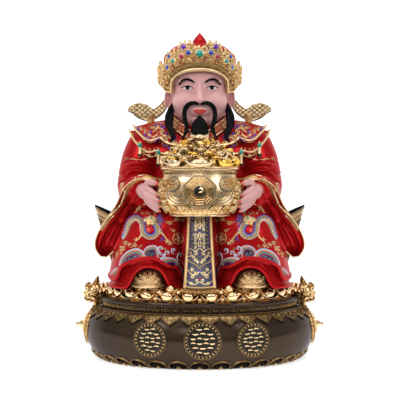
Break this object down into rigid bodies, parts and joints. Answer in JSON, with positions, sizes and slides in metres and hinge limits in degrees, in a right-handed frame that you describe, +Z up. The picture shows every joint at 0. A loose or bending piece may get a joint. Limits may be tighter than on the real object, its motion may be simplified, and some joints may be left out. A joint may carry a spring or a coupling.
{
  "type": "caishen figure",
  "caption": "Seated god of wealth holding a bowl of treasure, on an ingot seat over an oval basin heaped with gold.",
  "frame": {"origin": "middle of the basin's flat underside", "axes": "+Z up; the figure faces -Y and its left hand is towards +X"},
  "size_m": [0.3542, 0.2559, 0.4593],
  "materials": {
    "bronze_resin": "dark bronze paint, polished, with gold rubbed on its relief",
    "gold_plate": "bright warm gold plating on moulded relief",
    "crown_gold": "bright gold plating on pierced filigree",
    "lacquered_robe": "translucent candy red lacquer with gold, blue and white painted ornament",
    "painted_skin": "satin flesh paint on the head and hands",
    "black_hair": "black paint on the beard, moustache and side locks",
    "painted_ornament": "red and navy lacquer with raised gold, violet and green ornament",
    "green_gem": "clear coated green stone",
    "blue_gem": "clear coated blue stone",
    "ruby_gem": "clear coated red stone",
    "violet_gem": "clear coated violet stone"
  },
  "bodies": {
    "root": {"treasure_basin": "bronze_resin", "treasure_bed": "gold_plate", "beast_handle_right": "gold_plate", "beast_handle_left": "gold_plate", "ingot_seat": "gold_plate", "deity_figure": "lacquered_robe", "crown": "crown_gold", "hat_wing_right": "crown_gold", "hat_wing_left": "crown_gold", "held_bowl": "gold_plate", "crown_gem_1": "green_gem", "crown_gem_2": "blue_gem", "crown_gem_3": "blue_gem", "crown_gem_4": "ruby_gem", "crown_gem_5": "ruby_gem", "crown_gem_6": "violet_gem", "crown_gem_7": "violet_gem", "crown_gem_8": "green_gem", "crown_gem_9": "green_gem", "crown_gem_10": "blue_gem", "crown_gem_11": "blue_gem", "crown_gem_12": "blue_gem", "crown_gem_13": "blue_gem"}
  },
  "joints": []
}
